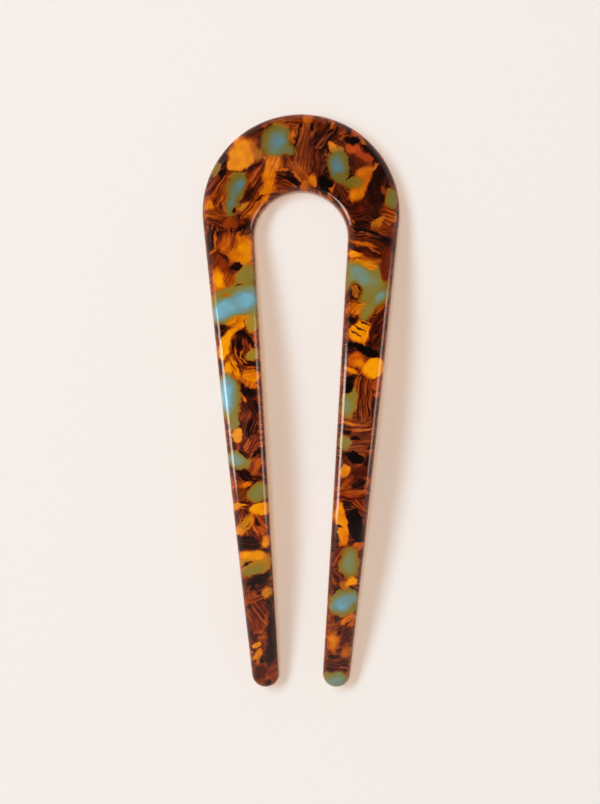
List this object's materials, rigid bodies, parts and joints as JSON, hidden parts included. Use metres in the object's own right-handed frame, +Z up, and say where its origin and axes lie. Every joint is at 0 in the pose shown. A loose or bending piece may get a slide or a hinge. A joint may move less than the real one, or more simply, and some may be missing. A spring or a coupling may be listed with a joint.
{
  "type": "french hair pin",
  "caption": "One-piece hair pin: a wide round bow and two legs that taper to round tips, with rounded edges, curved lengthwise, in polished mottled acetate.",
  "frame": {"origin": "on the surface that the pin lies on, under the centre of its bounding box", "axes": "+Y from the tips to the bow along the pin, +Z up out of the surface, +X across it to the right"},
  "size_m": [0.0396, 0.115, 0.0112],
  "materials": {
    "acetate": "polished cellulose acetate, mottled in chips of amber, orange, red-brown, near-black and soft teal blue"
  },
  "bodies": {
    "root": {"hair_pin": "acetate"}
  },
  "joints": []
}
